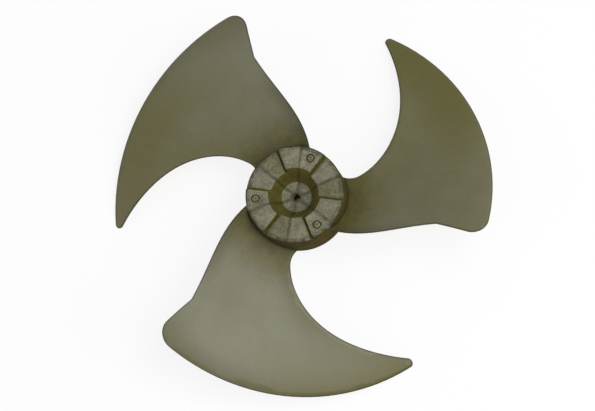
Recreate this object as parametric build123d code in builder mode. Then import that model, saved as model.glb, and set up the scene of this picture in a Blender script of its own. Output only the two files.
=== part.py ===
"""Three-bladed axial fan impeller, injection moulded in one piece.

The shaft axis is +Z and the origin lies on it, in the plane of the hub's rear rim. The nut side,
which blows, faces +Z.
"""

import os
from math import cos, pi, radians, sin, tan

from build123d import *

# Impeller as a whole, in millimetres and degrees
fan_radius = 200.0
blade_count = 3

# Hub cup, open at the rear and narrowing to the front by its mould draft
hub_radius = 50.7
hub_draft = 0.5
hub_wall = 3.0
plain_face_height = 39.0
raised_step = 3.6
face_plate = 3.0
rim_bevel = 2.2
mouth_bevel = 0.8

# Sectors of the front face, raised and plain in turn, with a groove at each border
sector_count = 6
sector_start = 51.0
groove_width = 2.4
groove_depth = 1.8

# Funnel that takes the shaft nut
floor_height = 25.8
floor_radius = 15.4
floor_plate = 3.6
funnel_half_angle = 34.0
funnel_wall = 3.4

# Ribs behind the face, and the shaft boss, which ends level with the rear rim
rib_thickness = 3.2
rib_start = 20.5
rib_rear_height = 10.0
boss_radius = 8.6

# Bore for a round shaft with one flat, wider where the round shaft enters
shaft_diameter = 8.0
shaft_across_flat = 7.0
shaft_clearance = 0.1
entry_clearance = 0.6
flat_length = 10.0
flat_direction = 45.0

# Marks of the three injection gates on the raised sectors
gate_circle_radius = 40.0
gate_angle = 65.3
gate_ring_radius = 3.8
gate_ring_width = 1.1
gate_ring_depth = 0.7

# Blade sections at even steps from just inside the hub wall to just outside the tip circle:
# polar angles and heights of the two edges, and the depth of the hollow of the blowing side
trailing_angles = [66.8, 88.9, 101.9, 107.3, 108.9]
trailing_heights = [41.4, 42.5, 45.8, 48.1, 42.0]
leading_angles = [143.5, 144.7, 157.3, 173.1, 189.3]
leading_heights = [6.7, 4.0, -2.1, -15.6, -39.8]
camber_depths = [5.5, 7.5, 9.3, 10.6, 12.4]
trim_allowance = 6.0
chord_points = 10
chord_allowance = 0.2

# Blade thickness, measured along the axis
edge_thickness = 2.2
root_thickness = 5.4
tip_thickness = 3.2
edge_bevel = 0.6

# Lobe at the outer end of the trailing edge, which starts at a notch some way along that edge, and
# the rounded corners of the blade's outline
notch_fraction = 0.675
notch_rounding = 6.0
lobe_corner_angle = 105.0
lobe_rounding = 16.5
sickle_rounding = 4.5
leading_root_rounding = 20.0
trailing_root_rounding = 8.0

# Sizes that follow from those above
raised_face_height = plain_face_height + raised_step
sector_angle = 360 / sector_count
bore_radius = (shaft_diameter + shaft_clearance) / 2
entry_radius = (shaft_diameter + entry_clearance) / 2
flat_distance = shaft_across_flat - shaft_diameter / 2 + shaft_clearance / 2


def wall_radius(height):
    """Outer radius of the drafted hub wall at a height above the rear rim."""
    return hub_radius - height * tan(radians(hub_draft))


def funnel_radius(height):
    """Radius of the nut funnel at a height above the rear rim."""
    return floor_radius + (height - floor_height) * tan(radians(funnel_half_angle))


def polar_point(radius, angle, height=0.0):
    """Point from its distance to the axis, its angle from +X and its height."""
    return Vector(radius * cos(radians(angle)), radius * sin(radians(angle)), height)


# Blade: its plan outline is extruded, then cut to the two curved faces of its twisted sections
root_radius = wall_radius(raised_face_height) - hub_wall / 2
flare_radius = root_radius - hub_wall / 2
section_count = len(trailing_angles)
section_step = (fan_radius - root_radius + 2 * trim_allowance) / (section_count - 1)
section_radii = [root_radius - trim_allowance + section_step * i for i in range(section_count)]
chord_step = (1 + 2 * chord_allowance) / (chord_points - 1)
chord_fractions = [chord_step * i - chord_allowance for i in range(chord_points)]


def blade_face(side):
    """Curved face of the blade: side 1 is the blowing side, side -1 the drawing side."""
    rows = []
    for i, radius in enumerate(section_radii):
        span = i / (section_count - 1)
        middle_thickness = root_thickness + (tip_thickness - root_thickness) * span
        row = []
        for chord in chord_fractions:
            bow = 4 * chord * (1 - chord)
            angle = trailing_angles[i] + (leading_angles[i] - trailing_angles[i]) * chord
            height = trailing_heights[i] + (leading_heights[i] - trailing_heights[i]) * chord
            thickness = edge_thickness + (middle_thickness - edge_thickness) * sin(pi * chord) ** 2
            row.append(polar_point(radius, angle, height - camber_depths[i] * bow + side * thickness / 2))
        rows.append(row)
    return Face.make_surface_from_array_of_points(rows)


blade_floor = min(leading_heights) - trim_allowance - tip_thickness
blade_ceiling = max(trailing_heights) + 2 * trim_allowance + tip_thickness

with BuildPart() as blade:
    with BuildSketch(Plane.XY.offset(blade_floor)) as outline:
        with BuildLine():
            leading_edge = Spline(*[polar_point(r, a) for r, a in zip(section_radii, leading_angles)])
            trailing_edge = Spline(*[polar_point(r, a) for r, a in zip(section_radii, trailing_angles)])
            middle_angle = (trailing_angles[-1] + leading_angles[-1]) / 2
            outer_middle = polar_point(section_radii[-1], middle_angle)
            ThreePointArc(leading_edge @ 1, outer_middle, trailing_edge @ 1)
            Line(leading_edge @ 0, trailing_edge @ 0)
        make_face()
        Circle(fan_radius, mode=Mode.INTERSECT)
        Circle(flare_radius)
        with BuildLine():
            notch = trailing_edge @ notch_fraction
            corner = polar_point(fan_radius, lobe_corner_angle)
            tip_middle = polar_point(fan_radius, middle_angle)
            lobe_start = notch + (notch - corner).normalized() * 2 * notch_rounding
            Polyline(corner, lobe_start, tip_middle)
            RadiusArc(tip_middle, corner, fan_radius)
        make_face()
        fillet(outline.vertices().sort_by_distance(notch)[0], notch_rounding)
        fillet(outline.vertices().sort_by_distance(corner)[0], lobe_rounding)
        sickle_tip = polar_point(fan_radius, leading_angles[-1])
        fillet(outline.vertices().sort_by_distance(sickle_tip)[0], sickle_rounding)
        leading_root = polar_point(flare_radius, leading_angles[0])
        fillet(outline.vertices().sort_by_distance(leading_root)[0], leading_root_rounding)
        trailing_root = polar_point(flare_radius, trailing_angles[0])
        fillet(outline.vertices().sort_by_distance(trailing_root)[0], trailing_root_rounding)
        Circle(root_radius, mode=Mode.SUBTRACT)
    extrude(amount=blade_ceiling - blade_floor)
    split(bisect_by=blade_face(1), keep=Keep.BOTTOM)
    split(bisect_by=blade_face(-1), keep=Keep.TOP)
    blowing_face = blade.faces().sort_by(SortBy.AREA)[-2:].sort_by(Axis.Z)[-1]
    root_face = blade.faces().filter_by(GeomType.CYLINDER).sort_by_distance((0, 0, floor_height))[0]
    chamfer(blowing_face.edges() - root_face.edges(), edge_bevel)

# Mould core that leaves the hollow behind the face, with slots for the ribs and the boss
with BuildPart() as core:
    face_back = plain_face_height - face_plate
    floor_back = floor_height - floor_plate
    with BuildSketch(Plane.XZ):
        with BuildLine():
            Polyline(
                (0, -hub_wall),
                (wall_radius(-hub_wall) - hub_wall, -hub_wall),
                (wall_radius(face_back) - hub_wall, face_back),
                (funnel_radius(face_back) + funnel_wall, face_back),
                (funnel_radius(floor_back) + funnel_wall, floor_back),
                (0, floor_back),
                close=True,
            )
        make_face()
    revolve(axis=Axis.Z)
    with BuildSketch(Plane.XY.offset(rib_rear_height)):
        with PolarLocations(hub_radius / 2, sector_count, start_angle=rib_start):
            Rectangle(hub_radius, rib_thickness)
    extrude(amount=plain_face_height, mode=Mode.SUBTRACT)
    with BuildSketch(Plane.XY):
        Circle(boss_radius)
    extrude(amount=plain_face_height, mode=Mode.SUBTRACT)

with BuildPart() as impeller:
    # Hub body with its funnel, turned at the height of the raised sectors
    with BuildSketch(Plane.XZ):
        with BuildLine():
            Polyline(
                (0, 0),
                (hub_radius, 0),
                (wall_radius(raised_face_height), raised_face_height),
                (funnel_radius(raised_face_height), raised_face_height),
                (floor_radius, floor_height),
                (0, floor_height),
                close=True,
            )
        make_face()
    revolve(axis=Axis.Z)

    # Plain sectors, a step lower than the raised ones
    plain_start = sector_start + sector_angle
    past_rim = 2 * hub_radius
    with BuildSketch(Plane.XY.offset(plain_face_height)):
        with PolarLocations(0, blade_count):
            Polygon(
                (0, 0),
                polar_point(past_rim, plain_start),
                polar_point(past_rim, plain_start + sector_angle),
                align=None,
            )
    extrude(amount=raised_step, mode=Mode.SUBTRACT)

    # Bevelled rim and funnel mouth of each sector, on the two sides of the gate circle
    sector_faces = impeller.faces().filter_by(Plane.XY).sort_by(Axis.Z)[-sector_count:]
    rim_arcs = sector_faces.edges().filter_by(GeomType.CIRCLE)
    chamfer(rim_arcs.filter_by(lambda arc: arc.radius > gate_circle_radius), rim_bevel)
    sector_faces = impeller.faces().filter_by(Plane.XY).sort_by(Axis.Z)[-sector_count:]
    mouth_arcs = sector_faces.edges().filter_by(GeomType.CIRCLE)
    chamfer(mouth_arcs.filter_by(lambda arc: arc.radius < gate_circle_radius), mouth_bevel)

    # Grooves between the sectors, out through the rim
    with BuildSketch(Plane.XY.offset(plain_face_height - groove_depth)):
        with PolarLocations(hub_radius / 2, sector_count, start_angle=sector_start):
            Rectangle(hub_radius, groove_width)
    extrude(amount=groove_depth + raised_step, mode=Mode.SUBTRACT)

    # Ring marks of the injection gates
    with BuildSketch(Plane.XY.offset(raised_face_height - gate_ring_depth)):
        with PolarLocations(gate_circle_radius, blade_count, start_angle=gate_angle):
            Circle(gate_ring_radius + gate_ring_width / 2)
            Circle(gate_ring_radius - gate_ring_width / 2, mode=Mode.SUBTRACT)
    extrude(amount=gate_ring_depth, mode=Mode.SUBTRACT)

    # Hollow rear, then the blades round the wall
    add(core.part, mode=Mode.SUBTRACT)
    with PolarLocations(0, blade_count):
        add(blade.part)

    # Shaft bore: the round entry behind, then the stretch with the flat up to the funnel floor
    flat_start = floor_height - flat_length
    with BuildSketch(Plane.XY):
        Circle(entry_radius)
    extrude(amount=flat_start, mode=Mode.SUBTRACT)
    with BuildSketch(Plane.XY.offset(flat_start)):
        Circle(bore_radius)
        with Locations(polar_point(flat_distance + bore_radius, flat_direction)):
            Rectangle(2 * bore_radius, 2 * bore_radius, rotation=flat_direction, mode=Mode.SUBTRACT)
    extrude(amount=flat_length, mode=Mode.SUBTRACT)

impeller.part.label = "impeller"
os.makedirs("parts", exist_ok=True)
export_step(impeller.part, "parts/impeller.step")
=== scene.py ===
"""Three-bladed axial fan impeller, moulded in plastic, lying on a pale studio floor."""

import math

import bpy
from mathutils import Matrix, Vector


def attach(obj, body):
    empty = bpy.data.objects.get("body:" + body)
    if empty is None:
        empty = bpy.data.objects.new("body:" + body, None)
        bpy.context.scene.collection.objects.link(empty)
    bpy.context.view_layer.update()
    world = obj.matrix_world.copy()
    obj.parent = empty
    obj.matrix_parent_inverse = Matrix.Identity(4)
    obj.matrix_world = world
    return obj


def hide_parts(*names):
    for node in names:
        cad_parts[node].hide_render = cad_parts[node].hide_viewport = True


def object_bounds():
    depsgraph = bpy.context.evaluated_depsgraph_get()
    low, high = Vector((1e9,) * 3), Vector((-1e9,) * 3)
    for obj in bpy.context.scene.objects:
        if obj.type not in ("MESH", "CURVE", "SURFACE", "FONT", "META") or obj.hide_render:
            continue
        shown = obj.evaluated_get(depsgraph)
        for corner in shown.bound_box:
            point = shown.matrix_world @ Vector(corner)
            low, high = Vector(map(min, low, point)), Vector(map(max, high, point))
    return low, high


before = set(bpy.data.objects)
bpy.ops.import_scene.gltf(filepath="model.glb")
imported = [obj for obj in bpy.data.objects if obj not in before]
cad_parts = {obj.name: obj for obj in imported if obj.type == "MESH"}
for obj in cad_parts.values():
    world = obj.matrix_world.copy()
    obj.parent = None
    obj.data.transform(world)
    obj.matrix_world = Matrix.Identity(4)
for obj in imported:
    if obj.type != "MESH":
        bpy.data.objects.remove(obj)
cad_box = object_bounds()

# Impeller: hub cup, nut funnel, ribs and three sickle blades, injection moulded in one shot.
# Its plastic is an olive styrene with short glass fibres, slightly see-through where it is thin.
# Three gates on the hub's raised sectors fed the mould, so the flow ran from there to the tips.
MM = 0.001
tip_radius = 200.0 * MM
blade_count = 3
hub_radius = 50.7 * MM
plain_face_height = 39.0 * MM
sector_count = 6
sector_start = math.radians(51)
groove_width = 2.4 * MM
floor_height = 25.8 * MM
floor_radius = 15.4 * MM
funnel_slope = math.tan(math.radians(34))
bore_radius = 4.05 * MM
rib_start = math.radians(20.5)
rib_thickness = 3.2 * MM
gate_circle_radius = 40.0 * MM
gate_start = math.radians(65.3)
gate_ring_radius = 3.8 * MM
gate_ring_width = 1.1 * MM


def linear(hex_colour):
    """Linear colour from an sRGB hex value."""
    parts = [int(hex_colour[i : i + 2], 16) / 255 for i in (1, 3, 5)]
    curved = [p / 12.92 if p <= 0.04045 else ((p + 0.055) / 1.055) ** 2.4 for p in parts]
    return (*curved, 1.0)


def add(tree, kind, inputs=(), **settings):
    """Adds a node with its settings, then sets or links its inputs, given by name or number."""
    node = tree.nodes.new(kind)
    for name, value in settings.items():
        setattr(node, name, value)
    used = [socket for socket in node.inputs if socket.enabled]
    for key, value in dict(inputs).items():
        socket = used[key] if isinstance(key, int) else next(s for s in used if s.name == key)
        if isinstance(value, bpy.types.Node):
            value = next(s for s in value.outputs if s.enabled)
        if isinstance(value, bpy.types.NodeSocket):
            tree.links.new(value, socket)
        else:
            socket.default_value = value
    return node


# Olive styrene with glass fibre, as moulded: a satin skin whose broad grey sheen hides the olive
# wherever it faces a light, helped by grey painted into the colour as painted sheen, and a thin wall
# that shows the ribs behind it as darker bands of painted shade.
plastic = bpy.data.materials.new("moulded_glass_filled_styrene")
plastic.use_nodes = True
tree = plastic.node_tree
tree.nodes.clear()
coordinates = add(tree, "ShaderNodeTexCoord")
place = coordinates.outputs["Object"]
axes = add(tree, "ShaderNodeSeparateXYZ", {0: place}).outputs
facing = add(tree, "ShaderNodeSeparateXYZ", {0: coordinates.outputs["Normal"]}).outputs["Z"]
flat_place = add(tree, "ShaderNodeVectorMath", {0: place, 1: (1, 1, 0)}, operation="MULTIPLY")
radius = add(tree, "ShaderNodeVectorMath", {0: flat_place}, operation="LENGTH").outputs["Value"]
angle = add(tree, "ShaderNodeMath", {0: axes["Y"], 1: axes["X"]}, operation="ARCTAN2")

# Hub zones: the funnel cone, the front face with its raised sectors, and upright walls, which are
# told by how little their normal points along the axis
border_blur = 0.2 * MM
cone_band = 0.4 * MM
cone_start = floor_radius - floor_height * funnel_slope
groove_middle = plain_face_height - 1.0 * MM
raised_from = plain_face_height + 1.0 * MM
raised_full = plain_face_height + 2.0 * MM
blade_wall_from, hub_wall_from, wall_full = 0.8, 0.6, 0.5
on_hub = add(
    tree,
    "ShaderNodeMapRange",
    {"Value": radius, "From Min": hub_radius + border_blur, "From Max": hub_radius - border_blur},
)
from_cone = add(
    tree, "ShaderNodeMath", {0: axes["Z"], 1: -funnel_slope, 2: radius}, operation="MULTIPLY_ADD"
)
on_cone = add(tree, "ShaderNodeMath", {0: from_cone, 1: cone_start, 2: cone_band}, operation="COMPARE")
above_disc = add(
    tree, "ShaderNodeMath", {0: axes["Z"], 1: floor_height + border_blur}, operation="GREATER_THAN"
)
on_cone = add(tree, "ShaderNodeMath", {0: on_cone, 1: above_disc}, operation="MULTIPLY")
above_grooves = add(tree, "ShaderNodeMath", {0: axes["Z"], 1: groove_middle}, operation="GREATER_THAN")
on_raised = add(
    tree, "ShaderNodeMapRange", {"Value": axes["Z"], "From Min": raised_from, "From Max": raised_full}
)
wall_from = add(
    tree, "ShaderNodeMapRange", {"Value": on_hub, "To Min": blade_wall_from, "To Max": hub_wall_from}
)
axial_share = add(tree, "ShaderNodeMath", {0: facing}, operation="ABSOLUTE")
upright = add(
    tree, "ShaderNodeMapRange", {"Value": axial_share, "From Min": wall_from, "From Max": wall_full}
)

# Lines at even angles round the hub: the grooves between the sectors, and the ribs, which show
# through the face as patchy bands of painted shade with wandering borders
sector_step = 2 * math.pi / sector_count
groove_blur = 0.3 * MM
groove_band = 1.4 * MM
wander_size = 4.0 * MM
wander_width = 3.4 * MM
patch_size = 9.0 * MM
line_distances = []
for line_start in (sector_start, rib_start):
    turned = add(tree, "ShaderNodeMath", {0: angle, 1: line_start}, operation="SUBTRACT")
    local = add(
        tree, "ShaderNodeMath", {0: turned, 1: sector_step / 2, 2: -sector_step / 2}, operation="WRAP"
    )
    across = add(tree, "ShaderNodeMath", {0: local}, operation="SINE")
    offset = add(tree, "ShaderNodeMath", {0: across, 1: radius}, operation="MULTIPLY")
    line_distances.append(add(tree, "ShaderNodeMath", {0: offset}, operation="ABSOLUTE"))
from_groove, from_rib = line_distances
# One side of each rib, which gets painted sheen on the hub below
painted_sheen_past_rib = add(tree, "ShaderNodeMapRange", {"Value": offset, "From Min": -1.0 * MM, "From Max": 2.5 * MM})
# The grooves, whose bare olive is painted lighter further down against the shade inside them
groove_with_painted_light = add(
    tree,
    "ShaderNodeMapRange",
    {"Value": from_groove, "From Min": groove_width / 2 + groove_blur, "From Max": groove_width / 2},
)
near_face = add(
    tree, "ShaderNodeMath", {0: axes["Z"], 1: groove_middle, 2: groove_band}, operation="COMPARE"
)
near_face = add(tree, "ShaderNodeMath", {0: near_face, 1: on_hub}, operation="MULTIPLY")
groove_with_painted_light = add(tree, "ShaderNodeMath", {0: groove_with_painted_light, 1: near_face}, operation="MULTIPLY")
groove_with_painted_light = add(tree, "ShaderNodeMath", {0: groove_with_painted_light, 1: on_cone}, operation="SUBTRACT", use_clamp=True)
wander = add(tree, "ShaderNodeTexNoise", {"Vector": place, "Scale": 1 / wander_size, "Detail": 3.0})
rib_edge = add(
    tree, "ShaderNodeMath", {0: wander, 1: wander_width, 2: from_rib}, operation="MULTIPLY_ADD"
)
over_rib = add(
    tree,
    "ShaderNodeMapRange",
    {
        "Value": rib_edge,
        "From Min": rib_thickness / 2 + 2.8 * MM,
        "From Max": rib_thickness / 2 + 0.3 * MM,
    },
    interpolation_type="SMOOTHSTEP",
)
patches = add(tree, "ShaderNodeTexNoise", {"Vector": place, "Scale": 1 / patch_size, "Detail": 2.0})
rib_strength = add(
    tree,
    "ShaderNodeMapRange",
    {"Value": patches, "From Min": 0.35, "From Max": 0.6, "To Min": 0.5, "To Max": 1.0},
)
# Painted shade: darker bands where the ribs behind the thin wall show through the face
rib_shadow = add(tree, "ShaderNodeMath", {0: over_rib, 1: rib_strength}, operation="MULTIPLY")
rib_shadow = add(tree, "ShaderNodeMath", {0: rib_shadow, 1: on_hub}, operation="MULTIPLY")

# Gate marks: the ring and the dot of each gate, and the ripples that spread round it, which are
# drawn coarser than the real ones so that they show
blade_step = 2 * math.pi / blade_count
ripple_step = 2.4 * MM
ripple_end = 12.0 * MM
ripple_depth = 0.3
turned = add(tree, "ShaderNodeMath", {0: angle, 1: gate_start}, operation="SUBTRACT")
local = add(tree, "ShaderNodeMath", {0: turned, 1: blade_step / 2, 2: -blade_step / 2}, operation="WRAP")
along = add(tree, "ShaderNodeMath", {0: local}, operation="COSINE")
along = add(
    tree, "ShaderNodeMath", {0: along, 1: radius, 2: -gate_circle_radius}, operation="MULTIPLY_ADD"
)
across = add(tree, "ShaderNodeMath", {0: local}, operation="SINE")
across = add(tree, "ShaderNodeMath", {0: across, 1: radius}, operation="MULTIPLY")
from_gate = add(tree, "ShaderNodeCombineXYZ", {"X": along, "Y": across})
from_gate = add(tree, "ShaderNodeVectorMath", {0: from_gate}, operation="LENGTH").outputs["Value"]
from_ring = add(tree, "ShaderNodeMath", {0: from_gate, 1: gate_ring_radius}, operation="SUBTRACT")
from_ring = add(tree, "ShaderNodeMath", {0: from_ring}, operation="ABSOLUTE")
on_ring = add(
    tree,
    "ShaderNodeMapRange",
    {
        "Value": from_ring,
        "From Min": gate_ring_width / 2 + 0.3 * MM,
        "From Max": gate_ring_width / 2 - 0.1 * MM,
    },
)
on_dot = add(tree, "ShaderNodeMapRange", {"Value": from_gate, "From Min": 1.1 * MM, "From Max": 0.6 * MM})
on_ring = add(tree, "ShaderNodeMath", {0: on_ring, 1: on_dot}, operation="MAXIMUM")
on_ring = add(tree, "ShaderNodeMath", {0: on_ring, 1: above_grooves}, operation="MULTIPLY")
ripple_turn = add(
    tree, "ShaderNodeMath", {0: from_gate, 1: 2 * math.pi / ripple_step}, operation="MULTIPLY"
)
ripple = add(tree, "ShaderNodeMath", {0: ripple_turn}, operation="SINE")
ripple_fade = add(
    tree,
    "ShaderNodeMapRange",
    {"Value": from_gate, "From Min": ripple_end, "From Max": gate_ring_radius, "To Max": ripple_depth},
)
ripple_shade = add(tree, "ShaderNodeMath", {0: ripple, 1: ripple_fade, 2: 1.0}, operation="MULTIPLY_ADD")

# Blade skin: olive near the root and painted shade in the corner at the hub, with a grey bloom further
# out, partly the frost of the fibres and partly painted sheen, that thins again along the leading
# edge and along the rim, except on the lobe
root_zone_end = 108.0 * MM
rim_zone_start = 125.0 * MM
rim_zone_full = 0.93 * tip_radius
corner_width = 3.0 * MM
lobe_start = math.radians(90)
blade_sweep = math.radians(45)
cloud_size = 24.0 * MM
near_root = add(
    tree,
    "ShaderNodeMapRange",
    {"Value": radius, "From Min": root_zone_end, "From Max": hub_radius},
    interpolation_type="SMOOTHSTEP",
)
near_rim = add(
    tree,
    "ShaderNodeMapRange",
    {"Value": radius, "From Min": rim_zone_start, "From Max": rim_zone_full, "To Max": 0.85},
    interpolation_type="SMOOTHSTEP",
)
swept_back = add(
    tree,
    "ShaderNodeMapRange",
    {
        "Value": radius,
        "From Min": hub_radius,
        "From Max": tip_radius,
        "To Min": -lobe_start,
        "To Max": -lobe_start - blade_sweep,
    },
)
along_chord = add(tree, "ShaderNodeMath", {0: angle, 1: swept_back}, operation="ADD")
along_chord = add(
    tree, "ShaderNodeMath", {0: along_chord, 1: 0.6 * blade_step, 2: -0.4 * blade_step}, operation="WRAP"
)
off_lobe = add(
    tree,
    "ShaderNodeMapRange",
    {"Value": along_chord, "From Min": -0.06 * blade_step, "From Max": 0.2 * blade_step},
    interpolation_type="SMOOTHSTEP",
)
near_leading = add(
    tree,
    "ShaderNodeMapRange",
    {"Value": along_chord, "From Min": 0.1 * blade_step, "From Max": 0.45 * blade_step, "To Max": 0.4},
    interpolation_type="SMOOTHSTEP",
)
thin_bloom = add(tree, "ShaderNodeMath", {0: near_rim, 1: off_lobe}, operation="MULTIPLY")
bare = add(tree, "ShaderNodeMath", {0: near_root, 1: thin_bloom}, operation="MAXIMUM")
bare = add(tree, "ShaderNodeMath", {0: bare, 1: near_leading}, operation="MAXIMUM")
covered = add(tree, "ShaderNodeMath", {0: 1.0, 1: bare}, operation="SUBTRACT")
cloud = add(tree, "ShaderNodeTexNoise", {"Vector": place, "Scale": 1 / cloud_size, "Detail": 3.0})
cloud_share = add(
    tree,
    "ShaderNodeMapRange",
    {"Value": cloud, "From Min": 0.3, "From Max": 0.7, "To Min": 0.75, "To Max": 1.1},
)
# Grey bloom: partly the frost of the fibres, partly painted sheen
bloom_and_painted_sheen = add(tree, "ShaderNodeMath", {0: covered, 1: cloud_share}, operation="MULTIPLY")
# Painted shade in the corner where the blades meet the hub
painted_corner_shade = add(
    tree,
    "ShaderNodeMapRange",
    {"Value": radius, "From Min": hub_radius + corner_width, "From Max": hub_radius},
)
blade_colour = linear("#57531f")
blade_layers = (
    (near_root, linear("#4d4817")),
    (bloom_and_painted_sheen, linear("#656348")),
    (painted_corner_shade, linear("#2c2605")),
)
for share, layer in blade_layers:
    blade_colour = add(
        tree, "ShaderNodeMix", {"Factor": share, "A": blade_colour, "B": layer}, data_type="RGBA"
    )

# Flow lines: streaks that run outwards from the gates, with the mottle and the grain of the fibres
# over them. A fibre is about a hundredth of a millimetre thick, so the grain is drawn coarser to show.
streaks_per_radian = 30.0
streak_length = 60.0 * MM
grain_size = 1.6 * MM
flow_place = add(
    tree,
    "ShaderNodeCombineXYZ",
    {
        "X": add(tree, "ShaderNodeMath", {0: angle, 1: streaks_per_radian}, operation="MULTIPLY"),
        "Y": add(tree, "ShaderNodeMath", {0: radius, 1: 1 / streak_length}, operation="MULTIPLY"),
    },
)
flow = add(tree, "ShaderNodeTexNoise", {"Vector": flow_place, "Scale": 1.0, "Detail": 4.0})
flow_shade = add(
    tree,
    "ShaderNodeMapRange",
    {"Value": flow, "From Min": 0.3, "From Max": 0.7, "To Min": 0.97, "To Max": 1.03},
)
blade_colour = add(tree, "ShaderNodeVectorMath", {0: blade_colour, "Scale": flow_shade}, operation="SCALE")
mottle_depth = add(tree, "ShaderNodeMath", {0: near_root, 1: 0.9}, operation="MULTIPLY")
mottle_height = add(tree, "ShaderNodeMath", {0: patches, 1: 0.5}, operation="SUBTRACT")
mottle = add(
    tree, "ShaderNodeMath", {0: mottle_height, 1: mottle_depth, 2: 1.0}, operation="MULTIPLY_ADD"
)
grain = add(tree, "ShaderNodeTexNoise", {"Vector": place, "Scale": 1 / grain_size, "Detail": 2.0})
grain_depth = add(tree, "ShaderNodeMapRange", {"Value": near_root, "To Min": 0.24, "To Max": 0.7})
grain_height = add(tree, "ShaderNodeMath", {0: grain, 1: 0.5}, operation="SUBTRACT")
grain_shade = add(
    tree, "ShaderNodeMath", {0: grain_height, 1: grain_depth, 2: mottle}, operation="MULTIPLY_ADD"
)

# Hub skin: speckled grey, frosted on the raised sectors, lighter on the disc, and lighter with
# painted sheen on one side of each rib, smudged along the rim, with painted shade over the ribs and
# round the bore, and bare olive on cone and grooves, the grooves with painted light against their
# own shade
speckle_size = 2.2 * MM
rim_band_start = hub_radius - 3.4 * MM
rim_line_radius = 46.6 * MM
halo_width = 4.5 * MM
rib_darkness = 0.8
speckle = add(tree, "ShaderNodeTexNoise", {"Vector": place, "Scale": 1 / speckle_size, "Detail": 5.0})
speckle_share = add(tree, "ShaderNodeMapRange", {"Value": speckle, "From Min": 0.25, "From Max": 0.75})
on_disc = add(
    tree,
    "ShaderNodeMapRange",
    {"Value": radius, "From Min": floor_radius, "From Max": 0.96 * floor_radius, "To Max": 0.6},
)
# Frost on the raised sectors, lighter on the disc, and painted sheen on one side of each rib
frost_and_painted_sheen = add(tree, "ShaderNodeMath", {0: on_raised, 1: painted_sheen_past_rib}, operation="MAXIMUM")
frost_and_painted_sheen = add(tree, "ShaderNodeMath", {0: frost_and_painted_sheen, 1: on_disc}, operation="MAXIMUM")
plain_colour = add(
    tree,
    "ShaderNodeMix",
    {"Factor": speckle_share, "A": linear("#4f4c2d"), "B": linear("#727057")},
    data_type="RGBA",
)
frost_and_sheen_colour = add(
    tree,
    "ShaderNodeMix",
    {"Factor": speckle_share, "A": linear("#605d45"), "B": linear("#817f6b")},
    data_type="RGBA",
)
rim_band = add(
    tree,
    "ShaderNodeMapRange",
    {"Value": radius, "From Min": rim_band_start - 0.4 * MM, "From Max": rim_band_start + 0.8 * MM},
)
from_line = add(tree, "ShaderNodeMath", {0: radius, 1: rim_line_radius}, operation="SUBTRACT")
from_line = add(tree, "ShaderNodeMath", {0: from_line}, operation="ABSOLUTE")
rim_line = add(tree, "ShaderNodeMapRange", {"Value": from_line, "From Min": 1.1 * MM, "From Max": 0.4 * MM})
rim_share = add(tree, "ShaderNodeMath", {0: rim_band, 1: rim_line}, operation="MAXIMUM")
smudge = add(
    tree,
    "ShaderNodeMapRange",
    {"Value": wander, "From Min": 0.35, "From Max": 0.6, "To Min": 0.9, "To Max": 0.2},
)
rim_smudge = add(tree, "ShaderNodeMath", {0: rim_share, 1: smudge}, operation="MULTIPLY")
# Painted shade round the bore, darkest at its edge
painted_bore_shade = add(
    tree,
    "ShaderNodeMapRange",
    {"Value": radius, "From Min": bore_radius + halo_width, "From Max": bore_radius, "To Max": 0.8},
)
# The painted rib shade, which also darkens the cone below
rib_shade_share = add(tree, "ShaderNodeMath", {0: rib_shadow, 1: rib_darkness}, operation="MULTIPLY")
painted_shade_share = add(tree, "ShaderNodeMath", {0: rib_shade_share, 1: painted_bore_shade}, operation="MAXIMUM")
cone_colour = add(
    tree,
    "ShaderNodeMix",
    {"Factor": rib_shade_share, "A": linear("#4d471a"), "B": linear("#2e2a0e")},
    data_type="RGBA",
)
hub_colour = plain_colour
# Layers over the speckle: frost and painted sheen, smudges, painted shade, cone, gate rings, and grooves
# with painted light
hub_layers = (
    (frost_and_painted_sheen, frost_and_sheen_colour),
    (rim_smudge, linear("#3b3b30")),
    (painted_shade_share, linear("#33342b")),
    (on_cone, cone_colour),
    (on_ring, linear("#47411a")),
    (groove_with_painted_light, linear("#5c5418")),
)
for share, layer in hub_layers:
    hub_colour = add(
        tree, "ShaderNodeMix", {"Factor": share, "A": hub_colour, "B": layer}, data_type="RGBA"
    )
hub_colour = add(tree, "ShaderNodeVectorMath", {0: hub_colour, "Scale": ripple_shade}, operation="SCALE")

# Walls and edges: upright walls are bare olive, darkened with painted shade, and the bore is browner
# and lighter with painted light. The mould rounds every edge off, so it turns away from the light,
# and that shade is painted as a dark line, drawn wider than the real rounding.
edge_rounding = 2.6 * MM
bore_border = bore_radius + 0.5 * MM
edge_from, edge_full = 0.998, 0.965
blade_edge_strength, hub_edge_strength = 0.85, 0.2
bare_share = add(tree, "ShaderNodeMath", {0: groove_with_painted_light, 1: on_ring}, operation="MAXIMUM")
bare_share = add(tree, "ShaderNodeMath", {0: bare_share, 1: on_cone}, operation="MAXIMUM")
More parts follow.
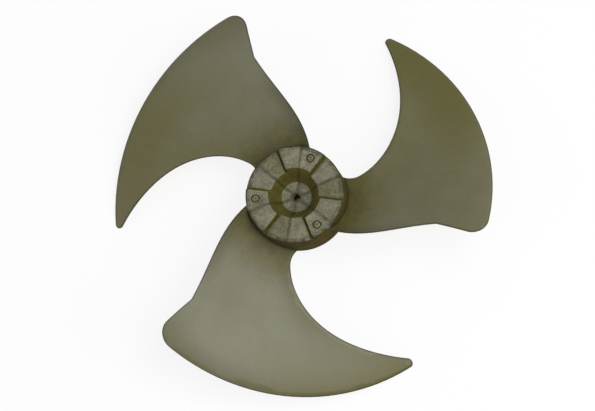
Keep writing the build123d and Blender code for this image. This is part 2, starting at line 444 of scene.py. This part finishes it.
# Upright walls get a darker colour of painted shade, the bore a lighter brown of painted light
painted_wall_share = add(tree, "ShaderNodeMath", {0: upright, 1: bare_share}, operation="SUBTRACT", use_clamp=True)
bore_with_painted_light = add(tree, "ShaderNodeMath", {0: radius, 1: bore_border}, operation="LESS_THAN")
painted_wall_colour = linear("#241f05")
for share, layer in ((on_hub, linear("#463c0c")), (bore_with_painted_light, linear("#7c6528"))):
    painted_wall_colour = add(
        tree, "ShaderNodeMix", {"Factor": share, "A": painted_wall_colour, "B": layer}, data_type="RGBA"
    )
rounded = add(tree, "ShaderNodeBevel", {"Radius": edge_rounding}, samples=8)
true_normal = add(tree, "ShaderNodeNewGeometry").outputs["Normal"]
agreement = add(tree, "ShaderNodeVectorMath", {0: rounded, 1: true_normal}, operation="DOT_PRODUCT")
edge_strength = add(
    tree,
    "ShaderNodeMapRange",
    {"Value": on_hub, "To Min": blade_edge_strength, "To Max": hub_edge_strength},
)
# Painted shade: a dark line where the rounded edges turn away from the light
painted_edge_shade = add(
    tree,
    "ShaderNodeMapRange",
    {
        "Value": agreement.outputs["Value"],
        "From Min": edge_from,
        "From Max": edge_full,
        "To Max": edge_strength,
    },
)
colour = blade_colour
for share, layer in ((on_hub, hub_colour), (painted_wall_share, painted_wall_colour), (painted_edge_shade, linear("#241f05"))):
    colour = add(tree, "ShaderNodeMix", {"Factor": share, "A": colour, "B": layer}, data_type="RGBA")
colour = add(tree, "ShaderNodeVectorMath", {0: colour, "Scale": grain_shade}, operation="SCALE")

# Finish: satin blades and a duller hub. Walls, bare marks and roots are matt, where fibres come to
# the surface, so their sheen is weaker too. Styrene acrylonitrile has an IOR of about 1.57.
styrene_ior = 1.57
blade_roughness, hub_roughness = 0.45, 0.65
matt_roughness = 0.35
full_sheen, matt_sheen = 0.5, 0.2
root_share = add(tree, "ShaderNodeMath", {0: near_root, 1: 0.45}, operation="MULTIPLY")
matt_share = add(tree, "ShaderNodeMath", {0: upright, 1: bare_share}, operation="MAXIMUM")
matt_share = add(tree, "ShaderNodeMath", {0: matt_share, 1: root_share}, operation="MAXIMUM")
rough = add(
    tree, "ShaderNodeMapRange", {"Value": on_hub, "To Min": blade_roughness, "To Max": hub_roughness}
)
rough = add(
    tree, "ShaderNodeMath", {0: matt_share, 1: matt_roughness, 2: rough}, operation="MULTIPLY_ADD"
)
sheen = add(tree, "ShaderNodeMapRange", {"Value": matt_share, "To Min": full_sheen, "To Max": matt_sheen})
relief = add(tree, "ShaderNodeBump", {"Strength": 0.12, "Distance": 0.3 * MM, "Height": grain})
shader = add(
    tree,
    "ShaderNodeBsdfPrincipled",
    {
        "Base Color": colour,
        "Roughness": rough,
        "IOR": styrene_ior,
        "Specular IOR Level": sheen,
        "Normal": relief,
    },
)
add(tree, "ShaderNodeOutputMaterial", {"Surface": shader})

# Moulding: a copy of the CAD mesh, whose loose triangles are merged and shaded smooth between edges
sharp_angle = math.radians(24)
merge_distance = 0.001 * MM
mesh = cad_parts["impeller"].data.copy()
mesh.name = "impeller_moulding"
mesh.materials.clear()
mesh.materials.append(plastic)
impeller = bpy.data.objects.new("impeller_moulding", mesh)
bpy.context.scene.collection.objects.link(impeller)
weld = impeller.modifiers.new("weld", "WELD")
weld.merge_threshold = merge_distance
bpy.context.view_layer.update()
welded = bpy.data.meshes.new_from_object(impeller.evaluated_get(bpy.context.evaluated_depsgraph_get()))
impeller.modifiers.clear()
impeller.data = welded
welded.shade_smooth()
welded.set_sharp_from_angle(angle=sharp_angle)
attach(impeller, "root")
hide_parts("impeller")

# Floor: a pale paper sweep under the impeller, which lies on the tips of its three sickles.
# The paper is lit up evenly, as a backdrop is, except behind the hub, where its glow fades and a
# dim brown spot of painted shade is put on it, so that the bore looks dark.
floor_width = 6.0
glow_level = 0.85
painted_shade_radius = 0.2 * hub_radius
bright_radius = 0.9 * hub_radius
paper = bpy.data.materials.new("white_background_paper")
paper.use_nodes = True
tree = paper.node_tree
tree.nodes.clear()
rays = add(tree, "ShaderNodeLightPath").outputs
seen = rays["Is Camera Ray"]
for ray in ("Is Glossy Ray", "Is Transmission Ray"):
    seen = add(tree, "ShaderNodeMath", {0: seen, 1: rays[ray]}, operation="MAXIMUM")
paper_place = add(tree, "ShaderNodeTexCoord").outputs["Object"]
paper_place = add(tree, "ShaderNodeVectorMath", {0: paper_place, 1: (1, 1, 0)}, operation="MULTIPLY")
from_axis = add(tree, "ShaderNodeVectorMath", {0: paper_place}, operation="LENGTH").outputs["Value"]
out_of_painted_shade = add(
    tree,
    "ShaderNodeMapRange",
    {"Value": from_axis, "From Min": painted_shade_radius, "From Max": bright_radius},
    interpolation_type="SMOOTHSTEP",
)
glow_share = add(tree, "ShaderNodeMath", {0: out_of_painted_shade, 1: glow_level}, operation="MULTIPLY")
glow_share = add(tree, "ShaderNodeMath", {0: seen, 1: glow_share}, operation="MULTIPLY")
# A dim brown spot of painted shade behind the hub, fading out to white paper
paper_colour = add(
    tree,
    "ShaderNodeMix",
    {"Factor": out_of_painted_shade, "A": linear("#7d6a3c"), "B": linear("#f4f4f4")},
    data_type="RGBA",
)
matt = add(tree, "ShaderNodeBsdfDiffuse", {"Color": paper_colour})
glow = add(tree, "ShaderNodeEmission", {"Color": linear("#ffffff"), "Strength": 1.0})
both = add(tree, "ShaderNodeMixShader", {0: glow_share, 1: matt, 2: glow})
add(tree, "ShaderNodeOutputMaterial", {"Surface": both})
half = floor_width / 2
floor_z = cad_box[0].z
corners = [(x, y, floor_z) for x, y in ((-half, -half), (half, -half), (half, half), (-half, half))]
floor_mesh = bpy.data.meshes.new("floor")
floor_mesh.from_pydata(corners, [], [(0, 1, 2, 3)])
floor_mesh.materials.append(paper)
floor = bpy.data.objects.new("floor", floor_mesh)
bpy.context.scene.collection.objects.link(floor)

# Light: a long soft box above on the right, weaker ones low on the right and left, and a grey room.
# Each box is given by its place, width, height and watts, and points at the hub.
room_level = 0.39
soft_boxes = {
    "main_soft_box": ((0.95, -0.1, 2.0), 1.7, 0.9, 28.0),
    "low_right_soft_box": ((1.75, -0.45, 1.15), 1.2, 1.0, 12.0),
    "left_soft_box": ((-1.9, -0.5, 1.0), 1.2, 1.0, 8.0),
}
world = bpy.data.worlds.new("grey_room")
bpy.context.scene.world = world
world.use_nodes = True
room = world.node_tree.nodes["Background"].inputs
room["Color"].default_value = linear("#ffffff")
room["Strength"].default_value = room_level
for name, (spot, width, height, watts) in soft_boxes.items():
    box = bpy.data.lights.new(name, "AREA")
    box.shape = "RECTANGLE"
    box.size = width
    box.size_y = height
    box.energy = watts
    lamp = bpy.data.objects.new(name, box)
    bpy.context.scene.collection.objects.link(lamp)
    towards_hub = (-Vector(spot)).to_track_quat("-Z", "Y").to_matrix().to_4x4()
    lamp.matrix_world = Matrix.Translation(spot) @ towards_hub

# Camera: a long lens almost straight above, a little low and right of the shaft axis.
# Its place was fitted to the outline of the blades, so the offset is in the camera's own axes.
image_width = 595
focal_pixels = 3358.1
lean_back = math.radians(-12.118)
lean_side = math.radians(-8.706)
aim_point = Vector((0.0, 0.0, 1.0)) * MM
camera_offset = Vector((2.862, 3.389, -3440.6)) * MM
turn = (Matrix.Rotation(lean_back, 3, "X") @ Matrix.Rotation(lean_side, 3, "Y")).transposed()
lens = bpy.data.cameras.new("camera")
lens.sensor_fit = "HORIZONTAL"
lens.sensor_width = 36.0
lens.lens = lens.sensor_width * focal_pixels / image_width
lens.clip_end = 20.0
camera = bpy.data.objects.new("camera", lens)
bpy.context.scene.collection.objects.link(camera)
camera.matrix_world = Matrix.Translation(aim_point - turn @ camera_offset) @ turn.to_4x4()
bpy.context.scene.camera = camera
bpy.context.scene.view_settings.view_transform = "Standard"
